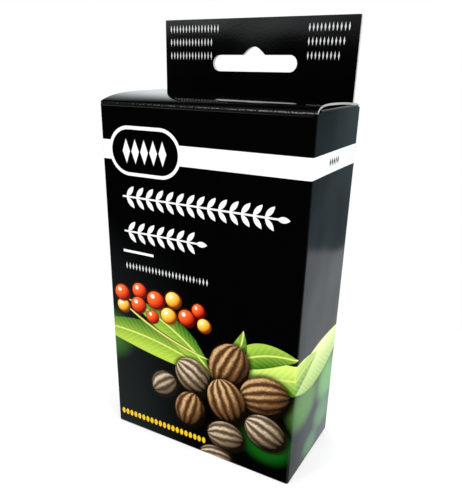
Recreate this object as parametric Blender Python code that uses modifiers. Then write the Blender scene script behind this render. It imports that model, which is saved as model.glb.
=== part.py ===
"""Hang-tab folding carton with a bowed tuck lid, holding a heap of casuarina cones.

Metres, +Z up. The origin is at the middle of the carton's footprint, on the surface it
stands on. The front faces -Y and the hang tab rises from the back.
"""

import math
import random

import bmesh
import bpy
from mathutils import Euler, Matrix, Vector
from mathutils.bvhtree import BVHTree

MM = 0.001

# Driving sizes of the carton
WIDTH = 75 * MM
DEPTH = 39 * MM
HEIGHT = 124.5 * MM
TAB_RISE = 26 * MM
BOARD = 0.6 * MM
GAP = 0.3 * MM
GLUE_GAP = 0.1 * MM

# Folds, as radii of the outer face
TOP_FOLD = 1.3 * MM
SIDE_FOLD = 0.9 * MM
CREASE_GAP = 0.2 * MM
ARC_STEPS = 5

# Hang tab and its slot, measured from the lid's crease level
TAB_LEFT_INSET = 0.7 * MM
TAB_RIGHT_INSET = 2.2 * MM
TAB_CORNER = 1.2 * MM
FRONT_PLY_STEP = 0.2 * MM
SLOT_WIDTH = 32.2 * MM
SLOT_LOW = 9.2 * MM
SLOT_HIGH = 14.7 * MM
CROWN_TOP = 17.4 * MM
CROWN_WIDTH = 7.8 * MM
CROWN_FOOT = 9.2 * MM
CROWN_CORNER = 2.2 * MM
CROWN_FLARE = 1.2 * MM
NEARLY_ROUND = 0.998

# Bow of the lid above its flat plane, on its left and its right edge
LID_HALF_WIDTH = 37.2 * MM
LID_BACK = 16.9 * MM
BOW_LEFT = 2.65 * MM
BOW_LEFT_POWER = 5
BOW_LEFT_FALL = 0.3 * MM
BOW_RIGHT = 1.98 * MM
BOW_RIGHT_POWER = 7
BOW_RIGHT_FALL = 1.56 * MM
LID_COLUMNS = 8
LID_ROWS = 16
LID_ROW_CROWDING = 1.6

# Tuck flap
TUCK_DROP = 13.9 * MM
TUCK_HALF_WIDTH = 35 * MM
TUCK_CORNER = 8 * MM
TUCK_LEAN = math.radians(12)

# Top dust flaps, and the length of side panel that they hinge from
DUST_LENGTH = 30 * MM
DUST_FRONT = -14.8 * MM
DUST_BACK = 13.1 * MM
DUST_TAPER = 1.7 * MM
DUST_CORNER = 3 * MM
NOTCH_DEPTH = 1.6 * MM

# Cones
CONE_COUNT = 20
CONE_SEED = 7
CONE_LENGTHS = (13.5 * MM, 21.5 * MM)
CONE_SLIMNESS = (0.6, 0.74)
CONE_SIDES = 14
CONE_BODY_RINGS = 8
CONE_END_CUT = 0.04
CONE_BLUNTNESS = 0.6
VALVE_RELIEF = 0.1
STALK_RADIUS = 1.0 * MM
STALK_LENGTH = 2.4 * MM
HEAP_TRIES = 60
HEAP_CLEARANCE = 0.3 * MM
HEAP_STEP = 0.15 * MM
HEAP_SWELL = 1.025
HEAP_TILT = 0.3
HEAP_DROP_FROM = 0.6 * HEIGHT

BOARD_BLACK = (0.012, 0.012, 0.013, 1)
BOARD_GREY = (0.42, 0.40, 0.37, 1)
CONE_BROWN = (0.23, 0.13, 0.07, 1)

HALF_W = WIDTH / 2
HALF_D = DEPTH / 2
FOLD_CENTRE = (-HALF_D + TOP_FOLD, HEIGHT - TOP_FOLD)
CREASE_ANGLE = math.radians(45)
LID_AXIS = (
    FOLD_CENTRE[0] - TOP_FOLD * math.sin(CREASE_ANGLE),
    FOLD_CENTRE[1] + TOP_FOLD * math.cos(CREASE_ANGLE),
)
WALL_BOTTOM = BOARD + GAP
INNER_PLY_FACE = HALF_D - 2 * BOARD - GLUE_GAP


def clear_scene():
    """Remove every object that the open file holds."""
    for item in list(bpy.data.objects):
        bpy.data.objects.remove(item, do_unlink=True)


def make_collection(name):
    collection = bpy.data.collections.new(name)
    bpy.context.scene.collection.children.link(collection)
    return collection


def make_material(name, colour, roughness):
    material = bpy.data.materials.new(name)
    material.use_nodes = True
    shader = material.node_tree.nodes["Principled BSDF"]
    shader.inputs["Base Color"].default_value = colour
    shader.inputs["Roughness"].default_value = roughness
    shader.inputs["Metallic"].default_value = 0.0
    return material


def arc(centre, radius, start, end, steps=ARC_STEPS):
    """Points on an arc, with its angles in radians from the first axis."""
    angles = [start + (end - start) * i / steps for i in range(steps + 1)]
    return [(centre[0] + radius * math.cos(a), centre[1] + radius * math.sin(a)) for a in angles]


def rounded(corners, steps=ARC_STEPS):
    """A closed outline with its corners rounded, from (point, radius) pairs."""
    points = []
    for i, (corner, radius) in enumerate(corners):
        here = Vector(corner)
        before = (Vector(corners[i - 1][0]) - here).normalized()
        after = (Vector(corners[(i + 1) % len(corners)][0]) - here).normalized()
        if radius == 0:
            points.append(tuple(here))
            continue
        half = before.angle(after) / 2
        centre = here + (before + after).normalized() * (radius / math.sin(half))
        first = here + before * (radius / math.tan(half)) - centre
        last = here + after * (radius / math.tan(half)) - centre
        turn = first.angle_signed(last)
        for step in range(steps + 1):
            spoke = first.copy()
            spoke.rotate(Matrix.Rotation(-turn * step / steps, 2))
            points.append(tuple(centre + spoke))
    return points


def outline_plate(name, loops, thickness, collection, material, rotation=(0, 0, 0), location=(0, 0, 0)):
    """A flat outline, with its holes, thickened both ways from its own plane."""
    curve = bpy.data.curves.new(name, "CURVE")
    curve.dimensions = "2D"
    curve.fill_mode = "BOTH"
    curve.extrude = thickness / 2
    for loop in loops:
        spline = curve.splines.new("POLY")
        spline.points.add(len(loop) - 1)
        for point, (x, y) in zip(spline.points, loop):
            point.co = (x, y, 0, 1)
        spline.use_cyclic_u = True
    plate = bpy.data.objects.new(name, curve)
    plate.data.materials.append(material)
    plate.rotation_euler = rotation
    plate.location = location
    collection.objects.link(plate)
    return plate


def curve_to_mesh(item):
    """Replace a curve object with the same shape as a welded mesh."""
    bpy.context.view_layer.update()
    name, matrix = item.name, item.matrix_world.copy()
    holder = item.users_collection[0]
    mesh = bpy.data.meshes.new_from_object(item.evaluated_get(bpy.context.evaluated_depsgraph_get()))
    bpy.data.objects.remove(item, do_unlink=True)
    shape = bmesh.new()
    shape.from_mesh(mesh)
    bmesh.ops.remove_doubles(shape, verts=shape.verts, dist=1e-7)
    shape.to_mesh(mesh)
    shape.free()
    solid = bpy.data.objects.new(name, mesh)
    solid.matrix_world = matrix
    holder.objects.link(solid)
    return solid


def box_between(name, low, high, collection, material=None):
    """An axis-aligned box, with its own origin at its middle."""
    low, high = Vector(low), Vector(high)
    bpy.ops.mesh.primitive_cube_add(size=1, location=(low + high) / 2)
    box = bpy.context.object
    box.name = name
    box.data.transform(Matrix.Diagonal((*(high - low), 1)))
    for other in list(box.users_collection):
        other.objects.unlink(box)
    collection.objects.link(box)
    if material:
        box.data.materials.append(material)
    return box


def cut(piece, cutter):
    """Cut one solid from another, keeping the cutter as a wire guide."""
    cutter.hide_render = True
    cutter.display_type = "WIRE"
    modifier = piece.modifiers.new(cutter.name, "BOOLEAN")
    modifier.operation = "DIFFERENCE"
    modifier.object = cutter


def side_panel(name, side, parts, guides, material):
    """A side wall with its two upright folds; its top is notched beside the dust flap's crease."""
    x, b, r = HALF_W, BOARD, SIDE_FOLD
    front, back = (x - r, -HALF_D + r), (x - r, HALF_D - r)
    quarter = math.pi / 2
    outline = arc(front, r, -quarter, 0) + arc(back, r, 0, quarter)
    outline += arc(back, r - b, quarter, 0) + arc(front, r - b, 0, -quarter)
    outline = [(side * px, py) for px, py in outline]
    tall = HEIGHT - WALL_BOTTOM
    middle = (0, 0, WALL_BOTTOM + tall / 2)
    panel = curve_to_mesh(outline_plate(name, [outline], tall, parts, material, location=middle))
    spans = {
        "front": (-HALF_D - 2 * r, DUST_FRONT - GAP),
        "back": (DUST_BACK + GAP, HALF_D + 2 * r),
    }
    for place, (low_y, high_y) in spans.items():
        ends = sorted((side * (x - 4 * r), side * (x + r)))
        low = (ends[0], low_y, HEIGHT - NOTCH_DEPTH)
        high = (ends[1], high_y, HEIGHT + NOTCH_DEPTH)
        cut(panel, box_between(f"{name}_{place}_notch", low, high, guides))
    return panel


def front_panel(parts, material):
    """The front wall with the lower half of the rounded fold along its top."""
    half_gap = CREASE_GAP / 2 / TOP_FOLD
    start, end = math.pi, math.pi / 2 + CREASE_ANGLE + half_gap
    outline = [(-HALF_D, WALL_BOTTOM)] + arc(FOLD_CENTRE, TOP_FOLD, start, end)
    outline += arc(FOLD_CENTRE, TOP_FOLD - BOARD, end, start) + [(-HALF_D + BOARD, WALL_BOTTOM)]
    width = WIDTH - 2 * (SIDE_FOLD + GAP)
    return outline_plate("front_panel", [outline], width, parts, material, (math.pi / 2, 0, math.pi / 2))


def euro_slot():
    """The hang slot's outline: a long bar with round ends and a crown in its middle."""
    middle = (TAB_LEFT_INSET - TAB_RIGHT_INSET) / 2
    end = (SLOT_HIGH - SLOT_LOW) / 2 * NEARLY_ROUND
    half = SLOT_WIDTH / 2
    right = [
        ((half, SLOT_LOW), end),
        ((half, SLOT_HIGH), end),
        ((CROWN_FOOT / 2, SLOT_HIGH), CROWN_FLARE),
        ((CROWN_WIDTH / 2, CROWN_TOP), CROWN_CORNER),
    ]
    left = [((-x, z), radius) for (x, z), radius in reversed(right)]
    return [(middle + x, HEIGHT + z) for x, z in rounded(right + left)]


def back_ply(name, face, half_width, top, parts, material):
    """One ply of the double back, which runs on upwards as a ply of the hang tab."""
    shoulder = HEIGHT + GAP
    left, right = -HALF_W + TAB_LEFT_INSET, HALF_W - TAB_RIGHT_INSET
    outline = rounded([
        ((-half_width, WALL_BOTTOM), 0),
        ((half_width, WALL_BOTTOM), 0),
        ((half_width, shoulder), 0),
        ((right, shoulder), 0),
        ((right, top), TAB_CORNER),
        ((left, top), TAB_CORNER),
        ((left, shoulder), 0),
        ((-half_width, shoulder), 0),
    ])
    place = (0, face + BOARD / 2, 0)
    return outline_plate(name, [outline, euro_slot()], BOARD, parts, material, (math.pi / 2, 0, 0), place)


def bottom_flaps(parts, material):
    """The glued bottom: an outer flap, an inner flap and two dust flaps, one on another."""
    inset = GAP
    box_between(
        "bottom_outer_flap", (-HALF_W + inset, -HALF_D + inset, 0), (HALF_W - inset, HALF_D - inset, BOARD),
        parts, material)
    low = BOARD + GLUE_GAP
    inner_x = HALF_W - BOARD - GAP
    front, back = -HALF_D + BOARD + GAP, INNER_PLY_FACE - GAP
    box_between("bottom_inner_flap", (-inner_x, front, low), (inner_x, back, low + BOARD), parts, material)
    low += BOARD + GLUE_GAP
    for name, side in (("bottom_dust_left", -1), ("bottom_dust_right", 1)):
        ends = sorted((side * inner_x, side * (inner_x - DUST_LENGTH)))
        box_between(name, (ends[0], front + GAP, low), (ends[1], back - GAP, low + BOARD), parts, material)
    return low + BOARD


def lid_bow(across, along):
    """Height of the lid above its flat plane, from left to right and from front to back, each 0 to 1."""
    left = BOW_LEFT * (1 - (1 - along) ** BOW_LEFT_POWER) - BOW_LEFT_FALL * along ** 4
    right = BOW_RIGHT * (1 - (1 - along) ** BOW_RIGHT_POWER) - BOW_RIGHT_FALL * along ** 3
    return left + (right - left) * across


def lid_height(x, y):
    """Height of the lid's upper face at a place on it."""
    across = (x + LID_HALF_WIDTH) / (2 * LID_HALF_WIDTH)
    along = max(0.0, (y - LID_AXIS[0]) / (LID_BACK - LID_AXIS[0]))
    before_top = max(0.0, FOLD_CENTRE[0] - y)
    drop = TOP_FOLD - math.sqrt(TOP_FOLD ** 2 - before_top ** 2)
    return HEIGHT + lid_bow(across, along) - drop


def lid_panel(parts, hinge, material):
    """The bowed lid, starting halfway round the front fold and ending at the tuck flap's crease."""
    bpy.ops.mesh.primitive_grid_add(x_subdivisions=LID_COLUMNS, y_subdivisions=LID_ROWS, size=2)
    lid = bpy.context.object
    lid.name = "lid_panel"
    half_gap = CREASE_GAP / 2 / TOP_FOLD
    start = FOLD_CENTRE[0] - TOP_FOLD * math.sin(CREASE_ANGLE - half_gap)
    for vertex in lid.data.vertices:
        x = vertex.co.x * LID_HALF_WIDTH
        y = start + (LID_BACK - start) * ((vertex.co.y + 1) / 2) ** LID_ROW_CROWDING
        vertex.co = (x, y, lid_height(x, y))
    for other in list(lid.users_collection):
        other.objects.unlink(lid)
    parts.objects.link(lid)
    lid.data.materials.append(material)
    thicken = lid.modifiers.new("board", "SOLIDIFY")
    thicken.thickness = BOARD
    thicken.offset = -1
    hang_from(lid, hinge)
    return lid


def tuck_flap(parts, hinge, material):
    """The flap that tucks in behind the back wall's inner face, leaning in at rest."""
    w, low, high, r = TUCK_HALF_WIDTH, -TUCK_DROP, BOARD, TUCK_CORNER
    outline = rounded([((-w, low), r), ((w, low), r), ((w, high), 0), ((-w, high), 0)])
    flap = outline_plate("tuck_flap", [outline], BOARD, parts, material)
    flap.parent = hinge
    upright = Matrix.Translation((0, GAP + BOARD / 2, 0)) @ Matrix.Rotation(math.pi / 2, 4, "X")
    flap.matrix_basis = Matrix.Rotation(-TUCK_LEAN, 4, "X") @ upright
    return flap


def top_dust_flap(name, side, parts, hinge, material):
    """A flap under the lid, hinged along the inner edge of the side wall's top."""
    near, far = GAP, GAP + DUST_LENGTH
    outline = rounded([
        ((side * -near, DUST_FRONT), 0),
        ((side * -far, DUST_FRONT + DUST_TAPER), DUST_CORNER),
        ((side * -far, DUST_BACK - DUST_TAPER), DUST_CORNER),
        ((side * -near, DUST_BACK), 0),
    ])
    flap = outline_plate(name, [outline], BOARD, parts, material, location=(0, 0, BOARD / 2))
    flap.parent = hinge
    return flap


def make_hinge(name, location, guides, rotation=(0, 0, 0)):
    """An empty on a crease's axis, which its flap hangs from."""
    hinge = bpy.data.objects.new(name, None)
    hinge.location = location
    hinge.rotation_euler = rotation
    guides.objects.link(hinge)
    return hinge


def hang_from(item, hinge):
    """Parent a piece to its hinge without moving it."""
    bpy.context.view_layer.update()
    item.parent = hinge
    item.matrix_parent_inverse = hinge.matrix_world.inverted()


def cone_profile(ring):
    """Radius and height of a ring of the cone, both 0 to 1, from its tip to its base."""
    along = ring / (CONE_BODY_RINGS + 1)
    swell = math.sin(math.pi * (CONE_END_CUT + (1 - 2 * CONE_END_CUT) * along))
    return swell ** CONE_BLUNTNESS, 1 - along


def cone_mesh(name, length, diameter):
    """A woody cone: a barrel whose rows of valves stand out in a spiral, on a short stalk."""
    rings = CONE_BODY_RINGS + 3
    shape = bmesh.new()
    bmesh.ops.create_uvsphere(shape, u_segments=CONE_SIDES, v_segments=rings, radius=1)
    for vertex in shape.verts:
        ring = round(math.acos(max(-1, min(1, vertex.co.z))) / math.pi * rings)
        side = round(math.atan2(vertex.co.y, vertex.co.x) / math.tau * CONE_SIDES)
        angle = math.tau * side / CONE_SIDES
        if ring <= CONE_BODY_RINGS:
            radius, height = cone_profile(ring)
            relief = VALVE_RELIEF if (side + ring) % 2 else -VALVE_RELIEF
            radius *= diameter / 2 * (1 + relief) if ring else 0
            height = (height - 1 / 2) * length
        else:
            radius = STALK_RADIUS if ring < rings else 0
            height = -length / 2 - STALK_LENGTH * (ring - CONE_BODY_RINGS - 1) / 2
        vertex.co = (radius * math.cos(angle), radius * math.sin(angle), height)
    bmesh.ops.triangulate(shape, faces=shape.faces, quad_method="SHORT_EDGE")
    mesh = bpy.data.meshes.new(name)
    shape.to_mesh(mesh)
    shape.free()
    return mesh


def points_in_place(mesh, matrix, swell=1.0):
    """The mesh's points where a matrix puts them, grown about the mesh's own middle."""
    return [matrix @ (vertex.co * swell) for vertex in mesh.vertices]


def drop_height(points, faces, heap_points, heap_tree, floor):
    """How far a cone can fall before it is one clearance above the floor or the heap."""
    fall = min(point.z for point in points) - floor
    if heap_tree is None:
        return fall - HEAP_CLEARANCE
    for point in points:
        hit = heap_tree.ray_cast(point, Vector((0, 0, -1)))
        if hit[0] is not None:
            fall = min(fall, hit[3])
    own = BVHTree.FromPolygons(points, faces)
    for point in heap_points:
        hit = own.ray_cast(point, Vector((0, 0, 1)))
        if hit[0] is not None:
            fall = min(fall, hit[3])
    return fall - HEAP_CLEARANCE


def raise_clear(mesh, matrix, faces, heap_tree):
    """Lift a cone in small steps until it is clear of the heap all round."""
    while heap_tree:
        grown = BVHTree.FromPolygons(points_in_place(mesh, matrix, HEAP_SWELL), faces)
        if not grown.overlap(heap_tree):
            break
        matrix = Matrix.Translation((0, 0, HEAP_STEP)) @ matrix
    return matrix


def settle_cone(mesh, rng, heap_points, heap_faces, floor):
    """The lowest resting place among many tries, clear of the walls and of the heap."""
    faces = [tuple(polygon.vertices) for polygon in mesh.polygons]
    heap_tree = BVHTree.FromPolygons(heap_points, heap_faces) if heap_points else None
    x_limit = HALF_W - BOARD - 2 * GAP
    y_limits = (-HALF_D + BOARD + 2 * GAP, INNER_PLY_FACE - 2 * GAP)
    best = None
    for _ in range(HEAP_TRIES):
        lie = Euler((math.pi / 2 + rng.gauss(0, HEAP_TILT), rng.uniform(0, math.tau), 0))
        turn = Euler((0, 0, rng.uniform(0, math.tau)))
        matrix = turn.to_matrix().to_4x4() @ lie.to_matrix().to_4x4()
        points = points_in_place(mesh, matrix)
        xs, ys = [p.x for p in points], [p.y for p in points]
        room_x = (-x_limit - min(xs), x_limit - max(xs))
        room_y = (y_limits[0] - min(ys), y_limits[1] - max(ys))
        start = Vector((rng.uniform(*room_x), rng.uniform(*room_y), HEAP_DROP_FROM))
        matrix = Matrix.Translation(start) @ matrix
        fall = drop_height(points_in_place(mesh, matrix), faces, heap_points, heap_tree, floor)
        height = start.z - fall
        if best is None or height < best[0]:
            best = (height, Matrix.Translation((0, 0, -fall)) @ matrix)
    return raise_clear(mesh, best[1], faces, heap_tree), faces


def heap_of_cones(floor, parts, material):
    """Cones of varied sizes, dropped one after another until each rests on those below."""
    rng = random.Random(CONE_SEED)
    lengths = sorted((rng.uniform(*CONE_LENGTHS) for _ in range(CONE_COUNT)), reverse=True)
    heap_points, heap_faces = [], []
    for number, length in enumerate(lengths, start=1):
        name = f"cone_{number:02d}"
        mesh = cone_mesh(name, length, length * rng.uniform(*CONE_SLIMNESS))
        matrix, faces = settle_cone(mesh, rng, heap_points, heap_faces, floor)
        first = len(heap_points)
        heap_points += points_in_place(mesh, matrix)
        heap_faces += [tuple(first + i for i in face) for face in faces]
        cone = bpy.data.objects.new(name, mesh)
        cone.matrix_world = matrix
        cone.data.materials.append(material)
        cone.data.shade_smooth()
        cone.data.set_sharp_from_angle(angle=math.radians(35))
        parts.objects.link(cone)


def build_carton():
    clear_scene()
    parts = make_collection("hang_tab_carton")
    guides = make_collection("guides")

    walls = {
        name: make_material(name, BOARD_BLACK, 0.2)
        for name in ("front_panel", "left_panel", "right_panel", "back_inner_panel", "back_outer_panel")
    }
    front_panel(parts, walls["front_panel"])
    side_panel("left_panel", -1, parts, guides, walls["left_panel"])
    side_panel("right_panel", 1, parts, guides, walls["right_panel"])
    inner_half = HALF_W - BOARD - GAP - 2 * GLUE_GAP
    outer_half = HALF_W - SIDE_FOLD - GAP
    plies = {
        "back_inner_panel": (INNER_PLY_FACE, inner_half, HEIGHT + TAB_RISE - FRONT_PLY_STEP),
        "back_outer_panel": (HALF_D - BOARD, outer_half, HEIGHT + TAB_RISE),
    }
    for name, (face, half_width, top) in plies.items():
        back_ply(name, face, half_width, top, parts, walls[name])
    floor = bottom_flaps(parts, make_material("bottom_flaps", BOARD_BLACK, 0.25))

    lid_hinge = make_hinge("lid_hinge", (0, *LID_AXIS), guides)
    lid_panel(parts, lid_hinge, make_material("lid_panel", BOARD_BLACK, 0.15))
    left_back, right_back = (lid_height(x, LID_BACK) for x in (-LID_HALF_WIDTH, LID_HALF_WIDTH))
    tilt = math.atan2(left_back - right_back, 2 * LID_HALF_WIDTH)
    crease = (0, LID_BACK, (left_back + right_back) / 2 - BOARD)
    tuck_hinge = make_hinge("tuck_hinge", crease, guides, (0, tilt, 0))
    hang_from(tuck_hinge, lid_hinge)
    tuck_flap(parts, tuck_hinge, make_material("tuck_flap", BOARD_BLACK, 0.2))

    for name, side in (("top_dust_left", -1), ("top_dust_right", 1)):
        hinge = make_hinge(f"{name}_hinge", (side * (HALF_W - BOARD), 0, HEIGHT - BOARD), guides)
        top_dust_flap(name, side, parts, hinge, make_material(name, BOARD_GREY, 0.6))

    heap_of_cones(floor, parts, make_material("cone_wood", CONE_BROWN, 0.8))


build_carton()
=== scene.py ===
"""Looks of a hang-tab folding carton: its board, folds and print, and the woody cones in it.

Pieces are shaped in millimetres, and a finished piece is brought to metres in its own mesh.
"""

import logging
import math
from dataclasses import dataclass, field
from enum import Enum
from typing import Any, Callable, Sequence
import bmesh
import bpy
import numpy
from mathutils import Matrix, Vector


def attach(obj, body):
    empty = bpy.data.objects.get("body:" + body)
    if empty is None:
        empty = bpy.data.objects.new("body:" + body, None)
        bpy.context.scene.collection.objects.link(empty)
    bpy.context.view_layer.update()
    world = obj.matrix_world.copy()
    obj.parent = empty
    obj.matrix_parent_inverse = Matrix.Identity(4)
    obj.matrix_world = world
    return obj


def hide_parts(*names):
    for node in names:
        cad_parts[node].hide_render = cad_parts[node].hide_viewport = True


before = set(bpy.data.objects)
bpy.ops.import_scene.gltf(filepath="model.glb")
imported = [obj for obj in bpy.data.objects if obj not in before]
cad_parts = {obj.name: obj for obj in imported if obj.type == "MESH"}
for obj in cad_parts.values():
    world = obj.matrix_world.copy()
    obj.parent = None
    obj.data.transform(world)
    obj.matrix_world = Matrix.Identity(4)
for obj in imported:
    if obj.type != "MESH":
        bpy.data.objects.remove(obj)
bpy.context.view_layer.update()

MM = 0.001
log = logging.getLogger("carton")

Colour = tuple[float, float, float, float]
Triple = tuple[float, float, float]


def tint(red: float, green: float, blue: float) -> Colour:
    """A solid colour from its linear red, green and blue."""
    return (red, green, blue, 1.0)


class Value:
    """A shader socket that takes part in ordinary arithmetic."""

    def __init__(self, graph: "Graph", link: bpy.types.NodeSocket) -> None:
        """Wraps one output socket of a graph's node."""
        self.graph = graph
        self.link = link

    def __add__(self, other: Any) -> "Value":
        """Sum of two values."""
        return self.graph.math("ADD", self, other)

    __radd__ = __add__

    def __mul__(self, other: Any) -> "Value":
        """Product of two values."""
        return self.graph.math("MULTIPLY", self, other)

    __rmul__ = __mul__

    def __sub__(self, other: Any) -> "Value":
        """This value less another."""
        return self.graph.math("SUBTRACT", self, other)

    def __rsub__(self, other: Any) -> "Value":
        """Another value less this one."""
        return self.graph.math("SUBTRACT", other, self)

    def __truediv__(self, other: Any) -> "Value":
        """This value over another."""
        return self.graph.math("DIVIDE", self, other)

    def __abs__(self) -> "Value":
        """This value without its sign."""
        return self.graph.math("ABSOLUTE", self)


class Graph:
    """The node tree of a material or a world, built from Python expressions."""

    def __init__(self, owner: Any) -> None:
        """Empties the owner's node tree and takes it.

        Args:
            owner: the material or world whose nodes are made.
        """
        owner.use_nodes = True
        self.tree = owner.node_tree
        self.tree.nodes.clear()

    def node(self, kind: str, settings: dict | None = None, values: dict | None = None) -> bpy.types.Node:
        """Adds one node.

        Args:
            kind: the node's type.
            settings: its settings, such as an operation or a ramp's stops, which are set first.
            values: numbers, colours or links for its input sockets, by name or place.

        Returns:
            The new node.
        """
        item = self.tree.nodes.new(kind)
        for key, setting in (settings or {}).items():
            if key == "stops":
                self._set_stops(item.color_ramp, setting)
            else:
                setattr(item, key, setting)
        for key, value in (values or {}).items():
            if isinstance(value, Value):
                self.tree.links.new(value.link, item.inputs[key])
            else:
                item.inputs[key].default_value = value
        return item

    @staticmethod
    def _set_stops(ramp: bpy.types.ColorRamp, stops: Sequence[tuple[float, Colour]]) -> None:
        """Gives a colour ramp its stops.

        Args:
            ramp: the ramp to fill.
            stops: places from 0 to 1, each with its colour.
        """
        while len(ramp.elements) < len(stops):
            ramp.elements.new(0.5)
        for element, (place, colour) in zip(ramp.elements, stops):
            element.position = place
            element.color = colour

    def take(self, item: bpy.types.Node, output: str | int = 0) -> Value:
        """One output of a node as a value."""
        return Value(self, item.outputs[output])

    def math(self, operation: str, *terms: Any) -> Value:
        """One Math node on numbers or values."""
        return self.take(self.node("ShaderNodeMath", {"operation": operation}, dict(enumerate(terms))))

    def ramp(self, value: Value, low: float, high: float, smooth: bool = True) -> Value:
        """Turns a value into a mask.

        Args:
            value: what is measured.
            low: where the mask is 0.
            high: where the mask is 1.
            smooth: whether it eases in and out.

        Returns:
            The mask, from 0 to 1.
        """
        settings = {"interpolation_type": "SMOOTHSTEP" if smooth else "LINEAR", "clamp": True}
        values = {0: value, 1: low, 2: high, 3: 0.0, 4: 1.0}
        return self.take(self.node("ShaderNodeMapRange", settings, values))

    def between(self, value: Value, low: float, high: float, soft: float) -> Value:
        """A mask that is 1 between two limits, with edges that are soft by a little."""
        return self.ramp(value, low - soft, low + soft) * self.ramp(value, high + soft, high - soft)

    def mix(self, mask: Any, first: Any, second: Any) -> Value:
        """Blends two colours by a mask, from the first at 0 to the second at 1."""
        settings = {"data_type": "RGBA", "blend_type": "MIX"}
        return self.take(self.node("ShaderNodeMix", settings, {0: mask, 6: first, 7: second}), 2)

    def stops(self, value: Value, *stops: tuple[float, Colour]) -> Value:
        """A colour that changes with a value, through stops."""
        return self.take(self.node("ShaderNodeValToRGB", {"stops": stops}, {0: value}))

    def noise(self, place: Value, scale: float, detail: float = 2.0, rough: float = 0.5) -> Value:
        """Noise from 0 to 1 at a place, with its scale in cycles per unit."""
        values = {"Vector": place, "Scale": scale, "Detail": detail, "Roughness": rough}
        return self.take(self.node("ShaderNodeTexNoise", {}, values))

    def split(self, vector: Value) -> tuple[Value, Value, Value]:
        """A vector's three parts."""
        item = self.node("ShaderNodeSeparateXYZ", {}, {0: vector})
        return self.take(item, 0), self.take(item, 1), self.take(item, 2)

    def join(self, x: Any, y: Any, z: Any = 0.0) -> Value:
        """A vector from its three parts."""
        return self.take(self.node("ShaderNodeCombineXYZ", {}, {0: x, 1: y, 2: z}))

    def place(self) -> Value:
        """Reads the point on the piece.

        Returns:
            The point in millimetres, in the carton's own frame.
        """
        coordinates = self.take(self.node("ShaderNodeTexCoord"), "Object")
        settings = {"operation": "SCALE"}
        return self.take(self.node("ShaderNodeVectorMath", settings, {0: coordinates, "Scale": 1 / MM}))

    def unrolled(self) -> tuple[Value, Value]:
        """Reads the place on the unrolled print.

        Returns:
            The distance round the carton and the height, in millimetres.
        """
        uv = self.take(self.node("ShaderNodeUVMap", {"uv_map": "print"}))
        around, up, _ = self.split(uv)
        return around, up

    def bump(self, height: Value, strength: float, distance: float, normal: Value | None = None) -> Value:
        """Relief on the surface.

        Args:
            height: the relief, from 0 to 1.
            strength: how much of it shows.
            distance: its depth in metres.
            normal: another relief that this one lies on.

        Returns:
            The new surface normal.
        """
        values = {"Height": height, "Strength": strength, "Distance": distance}
        if normal is not None:
            values["Normal"] = normal
        return self.take(self.node("ShaderNodeBump", {}, values))

    def surface(self, **sockets: Any) -> None:
        """Adds the shader and the output.

        Args:
            sockets: the shader's sockets, with underscores for the spaces in their names.
        """
        values = {key.replace("_", " "): value for key, value in sockets.items()}
        shader = self.node("ShaderNodeBsdfPrincipled", {}, values)
        self.node("ShaderNodeOutputMaterial", {}, {"Surface": self.take(shader)})


BLACK_INK = tint(0.0007, 0.0007, 0.0008)
WHITE_INK = tint(0.83, 0.83, 0.82)
PALE_INK = tint(0.62, 0.62, 0.62)
YELLOW_INK = tint(0.78, 0.50, 0.02)
WORN_CORE = tint(0.13, 0.125, 0.115)
LEAF_RIB = tint(0.62, 0.72, 0.16)


class Mark(Enum):
    """Shape of the small marks in a printed row."""

    LOZENGE = 1
    OVAL = 2


@dataclass(frozen=True)
class Row:
    """A printed row of small marks, in millimetres on the unrolled print."""

    start: float
    end: float
    low: float
    high: float
    pitch: float
    fill: float = 0.7
    mark: Mark = Mark.LOZENGE
    ink: Colour = WHITE_INK

    def lay(self, graph: Graph, around: Value, up: Value, below: Any) -> Value:
        """Prints the row.

        Args:
            graph: the material's node tree.
            around: place round the carton.
            up: place up the carton.
            below: the colour that it is printed on.

        Returns:
            The colour with the row on it.
        """
        step = graph.math("FRACT", (around - self.start) / self.pitch)
        aside = abs(step - 0.5) * (2 / self.fill)
        above = abs(up - (self.low + self.high) / 2) * (2 / (self.high - self.low))
        if self.mark is Mark.LOZENGE:
            reach = aside + above
        else:
            reach = graph.math("SQRT", aside * aside + above * above)
        mask = graph.ramp(reach, 1.06, 0.88) * graph.between(around, self.start, self.end, 0.02)
        return graph.mix(mask, below, self.ink)


@dataclass(frozen=True)
class Bar:
    """A printed bar with straight or round ends, in millimetres on the unrolled print."""

    start: float
    end: float
    low: float
    high: float
    ink: Colour = WHITE_INK
    round_ends: bool = False
    soft: float = 0.06

    def lay(self, graph: Graph, around: Value, up: Value, below: Any) -> Value:
        """Prints the bar.

        Args:
            graph: the material's node tree.
            around: place round the carton.
            up: place up the carton.
            below: the colour that it is printed on.

        Returns:
            The colour with the bar on it.
        """
        half = (self.high - self.low) / 2
        above = abs(up - (self.low + self.high) / 2)
        if not self.round_ends:
            mask = graph.ramp(above, half + self.soft, half - self.soft)
            mask = mask * graph.between(around, self.start, self.end, self.soft)
            return graph.mix(mask, below, self.ink)
        run = (self.end - self.start) / 2 - half
        aside = graph.math("MAXIMUM", abs(around - (self.start + self.end) / 2) - run, 0.0)
        reach = graph.math("SQRT", aside * aside + above * above)
        return graph.mix(graph.ramp(reach, half + self.soft, half - self.soft), below, self.ink)


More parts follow.
